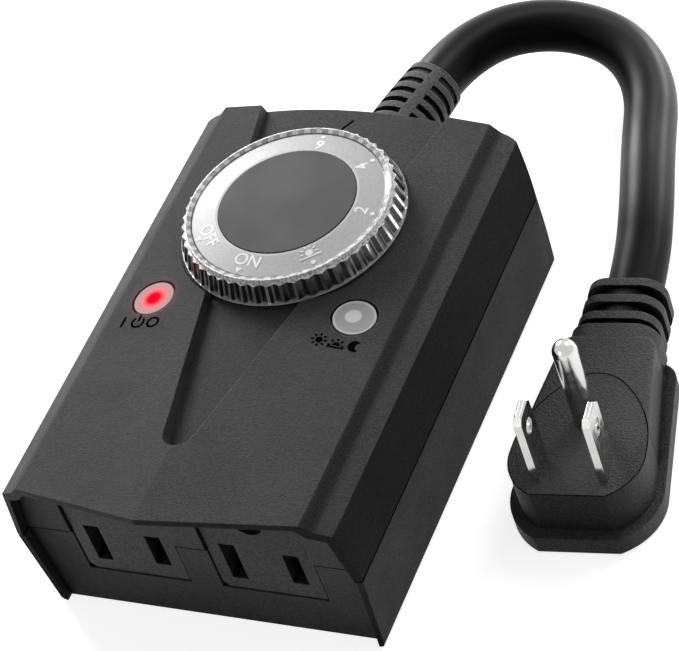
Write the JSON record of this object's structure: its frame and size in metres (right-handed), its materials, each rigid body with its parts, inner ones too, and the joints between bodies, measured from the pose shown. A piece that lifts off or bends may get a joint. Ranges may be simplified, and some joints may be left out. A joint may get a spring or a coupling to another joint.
{
  "type": "outdoor plug-in timer",
  "caption": "Black outdoor timer box with grounded outlets under a hood, a clear turning dial, two round lenses and a short cord with a right-angle plug.",
  "frame": {"origin": "bottom centre of the box on its flat back, with the strain relief, cord and plug left out", "axes": "+Z out of the dial face, +Y along the box from the outlets to the cord, +X to the right when the cord end is up"},
  "size_m": [0.1124, 0.166, 0.0441],
  "materials": {
    "cover": "fine textured",
    "seal_rubber": "soft",
    "screw_steel": "zinc plated",
    "board": "solder mask",
    "switch_plastic": "smooth",
    "rotor_plastic": "smooth",
    "spring_steel": "bright",
    "clear_knob": "clear polystyrene",
    "disc_black": "satin",
    "red_lens": "clear red, lit",
    "grey_lens": "smoked, translucent",
    "led_epoxy": "clear red",
    "cell": "clear",
    "relay_case": "smooth",
    "film_capacitor": "smooth",
    "electrolytic": "shrink sleeve",
    "varistor_blue": "dipped",
    "chip_black": "moulded",
    "outlet_plastic": "satin",
    "contact_brass": "bright",
    "cord_jacket": "satin vinyl",
    "wire_black": "vinyl",
    "wire_white": "vinyl",
    "wire_green": "vinyl",
    "relief_rubber": "satin vinyl",
    "plug_vinyl": "satin vinyl",
    "plug_core_black": "satin",
    "plug_metal": "nickel plated"
  },
  "bodies": {
    "housing": {"front_cover": "cover", "rear_cover": "cover", "cover_seal": "seal_rubber", "cover_screws": "screw_steel", "circuit_board": "board", "board_screws": "screw_steel", "switch_housing": "switch_plastic", "detent_spring": "spring_steel", "shaft_seal": "seal_rubber", "power_lens": "red_lens", "sensor_lens": "grey_lens", "power_led": "led_epoxy", "photocell": "cell", "relay": "relay_case", "mains_capacitor": "film_capacitor", "smoothing_capacitor": "electrolytic", "varistor": "varistor_blue", "microcontroller": "chip_black", "outlet_block_left": "outlet_plastic", "outlet_block_right": "outlet_plastic", "neutral_bus": "contact_brass", "line_bus": "contact_brass", "ground_bus": "contact_brass", "cord_inner_end": "cord_jacket", "line_wire_in": "wire_black", "neutral_wire_in": "wire_white", "ground_wire": "wire_green", "line_wire_out": "wire_black", "neutral_wire_out": "wire_white", "cord_strain_relief": "relief_rubber", "cord": "cord_jacket", "plug_jacket": "plug_vinyl", "plug_core": "plug_core_black", "line_blade": "plug_metal", "neutral_blade": "plug_metal", "ground_pin": "plug_metal"},
    "dial": {"dial_knob": "clear_knob", "dial_centre_disc": "disc_black", "switch_rotor": "rotor_plastic"}
  },
  "joints": [
    {"name": "dial_turn", "type": "hinge", "parent": "housing", "child": "dial", "pos_m": [0, 0.02265, 0.042], "axis": [0, 0, 1], "range_deg": [-45, 225]}
  ]
}
